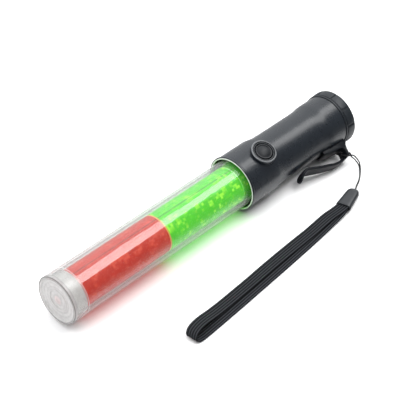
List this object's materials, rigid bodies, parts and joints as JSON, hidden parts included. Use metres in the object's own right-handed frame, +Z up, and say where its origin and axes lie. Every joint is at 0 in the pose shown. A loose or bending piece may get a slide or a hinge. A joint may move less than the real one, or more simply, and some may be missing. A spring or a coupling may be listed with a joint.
{
  "type": "traffic baton light",
  "caption": "Hand-held traffic baton light: a battery handle with a button and belt clip carries a clear tube with a red and a green lit sleeve, and a wrist strap.",
  "frame": {"origin": "on the floor, below the middle of the baton's box, which includes its clip but not its strap", "axes": "+X along the baton towards its light tip, +Z up, +Y towards the side with the belt clip and the strap"},
  "size_m": [0.31, 0.1121, 0.0508],
  "materials": {
    "black_plastic": "fine satin moulded plastic, charcoal black",
    "clip_plastic": "satin moulded plastic, black",
    "clear_plastic": "clear polished tube",
    "frosted_plastic": "frosted translucent moulding",
    "red_film": "red translucent, patterned with small squares",
    "green_film": "green translucent, patterned with small squares",
    "amber_plastic": "amber translucent moulding",
    "pale_ring": "pale glossy moulding",
    "white_plastic": "white moulded plastic",
    "satin_grey": "dark grey satin moulding",
    "black_rubber": "black moulded rubber",
    "circuit_board": "green lacquered board",
    "brass": "plain contact metal",
    "steel": "plain spring and screw steel",
    "cell_wrap": "metal can with a copper-coloured wrap",
    "black_cord": "black woven nylon"
  },
  "bodies": {
    "baton": {"tip_cap": "frosted_plastic", "outer_tube": "clear_plastic", "red_sleeve": "red_film", "green_sleeve": "green_film", "sleeve_divider": "amber_plastic", "tube_holder": "white_plastic", "led_board": "circuit_board", "red_led_1": "red_film", "red_led_2": "red_film", "red_led_3": "red_film", "red_led_4": "red_film", "green_led_1": "green_film", "green_led_2": "green_film", "green_led_3": "green_film", "green_led_4": "green_film", "mouth_ring": "pale_ring", "handle_shell": "black_plastic", "button_bezel": "clip_plastic", "switch_body": "clip_plastic", "contact_board": "circuit_board", "centre_contact": "brass", "ring_contact": "brass", "positive_lead": "red_film", "negative_lead": "black_cord", "cell_carrier": "white_plastic", "cell_1": "cell_wrap", "cell_2": "cell_wrap", "cell_3": "cell_wrap", "cell_4": "cell_wrap", "clip_bracket": "clip_plastic", "clip_screw_1": "steel", "clip_screw_2": "steel", "lanyard_cord": "black_cord", "strap_ferrule": "satin_grey", "strap_webbing": "black_cord"},
    "button": {"button_cap": "black_rubber", "switch_plunger": "red_film"},
    "spring_carriage": {"cap_spring": "steel", "spring_seat": "steel"},
    "screw_cap": {"end_cap": "black_plastic", "cap_seal": "black_rubber"},
    "clip_leaf": {"belt_clip": "clip_plastic"}
  },
  "joints": [
    {"name": "button_press", "type": "slide", "parent": "baton", "child": "button", "axis": [0, -0.3907, -0.9205], "range_m": [0, 0.0012], "stiffness_N_per_m": 800},
    {"name": "cap_travel", "type": "slide", "parent": "baton", "child": "spring_carriage", "axis": [-1, 0, 0], "range_m": [0, 0.0075]},
    {"name": "cap_turn", "type": "hinge", "parent": "spring_carriage", "child": "screw_cap", "pos_m": [-0.145, -0.005, 0.0234], "axis": [-1, 0, 0], "range_deg": [0, 900]},
    {"name": "clip_flex", "type": "hinge", "parent": "baton", "child": "clip_leaf", "pos_m": [-0.1337, 0.0254, 0.00585], "axis": [0, 0.5, 0.866], "range_deg": [0, 8], "stiffness_Nm_per_rad": 0.8}
  ],
  "couplings": [
    {"joint": "cap_turn", "follows": "cap_travel", "rad_per_m": 2094.4}
  ]
}
